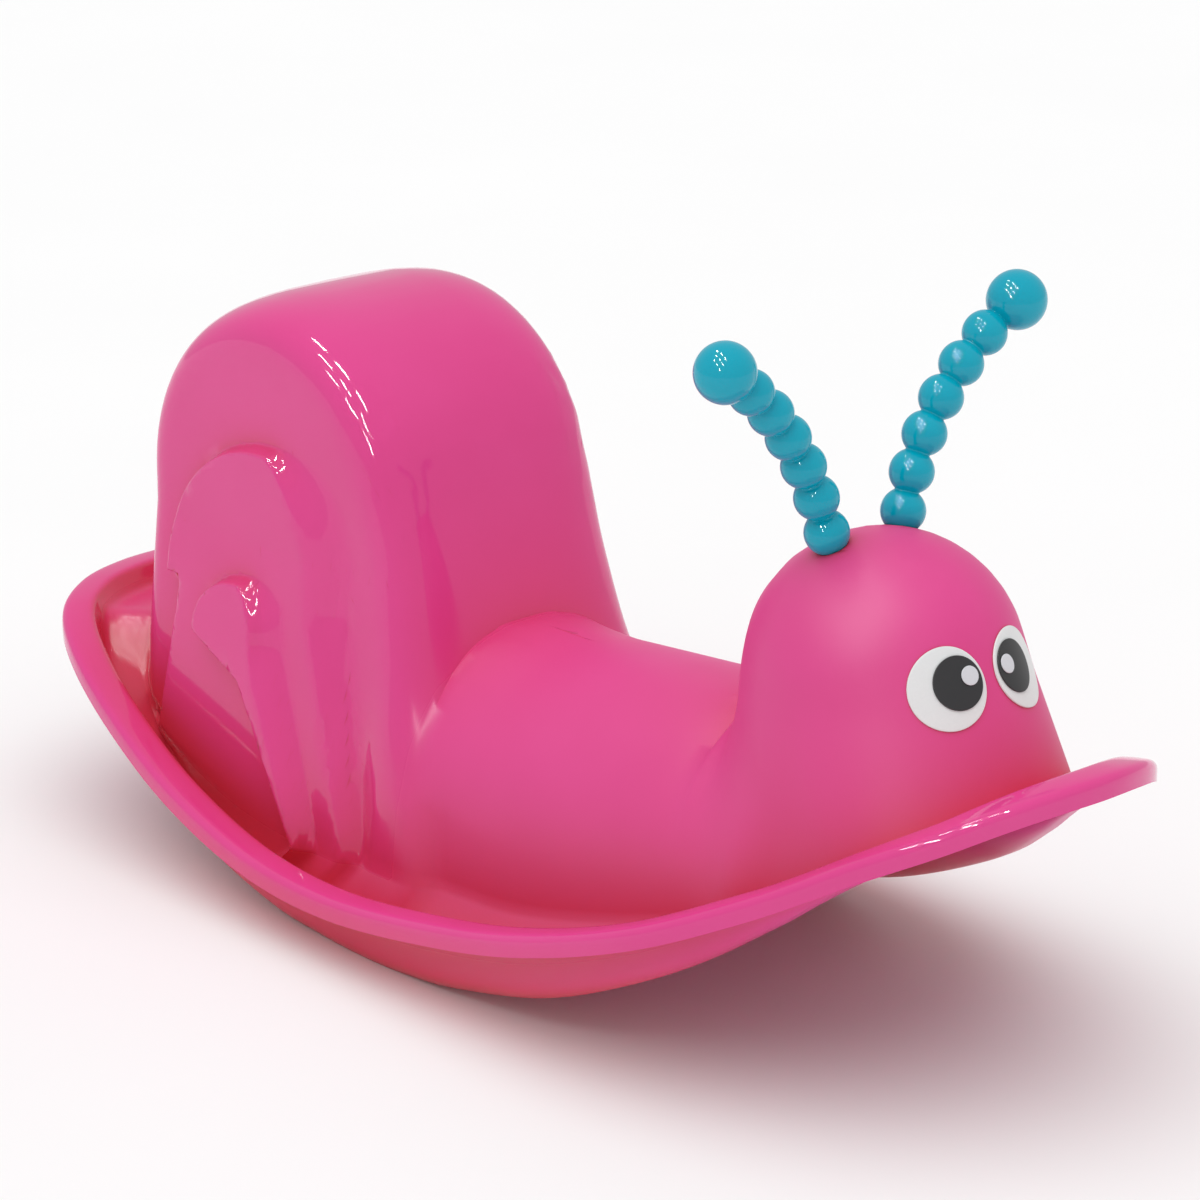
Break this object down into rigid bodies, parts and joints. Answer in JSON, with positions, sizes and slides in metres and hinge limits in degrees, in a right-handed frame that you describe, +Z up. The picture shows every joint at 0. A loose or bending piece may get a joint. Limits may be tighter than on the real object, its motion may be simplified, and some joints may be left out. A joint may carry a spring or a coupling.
{
  "type": "kids seesaw rocker",
  "caption": "Moulded plastic rocking toy shaped like a snail: rim, foot troughs, saddle seat, tall backrest, round head with eyes, beaded antennae as handles.",
  "frame": {"origin": "on the floor under the centre of the bounding box", "axes": "+X toward the head, +Y the toy's left, +Z up"},
  "size_m": [0.803, 0.3372, 0.4128],
  "materials": {
    "pink_plastic": "injection-moulded polypropylene, glossy",
    "teal_plastic": "moulded, glossy",
    "zinc_plated_steel": "bright zinc plate",
    "eye_white": "satin disc",
    "eye_black": "satin disc",
    "eye_glint": "satin disc"
  },
  "bodies": {
    "root": {"body_shell": "pink_plastic", "antenna_left": "teal_plastic", "antenna_right": "teal_plastic", "antenna_washer_left": "zinc_plated_steel", "antenna_washer_right": "zinc_plated_steel", "antenna_screw_left": "zinc_plated_steel", "antenna_screw_right": "zinc_plated_steel", "eye_white_left": "eye_white", "eye_white_right": "eye_white", "eye_pupil_left": "eye_black", "eye_pupil_right": "eye_black", "eye_glint_left": "eye_glint", "eye_glint_right": "eye_glint"}
  },
  "joints": []
}
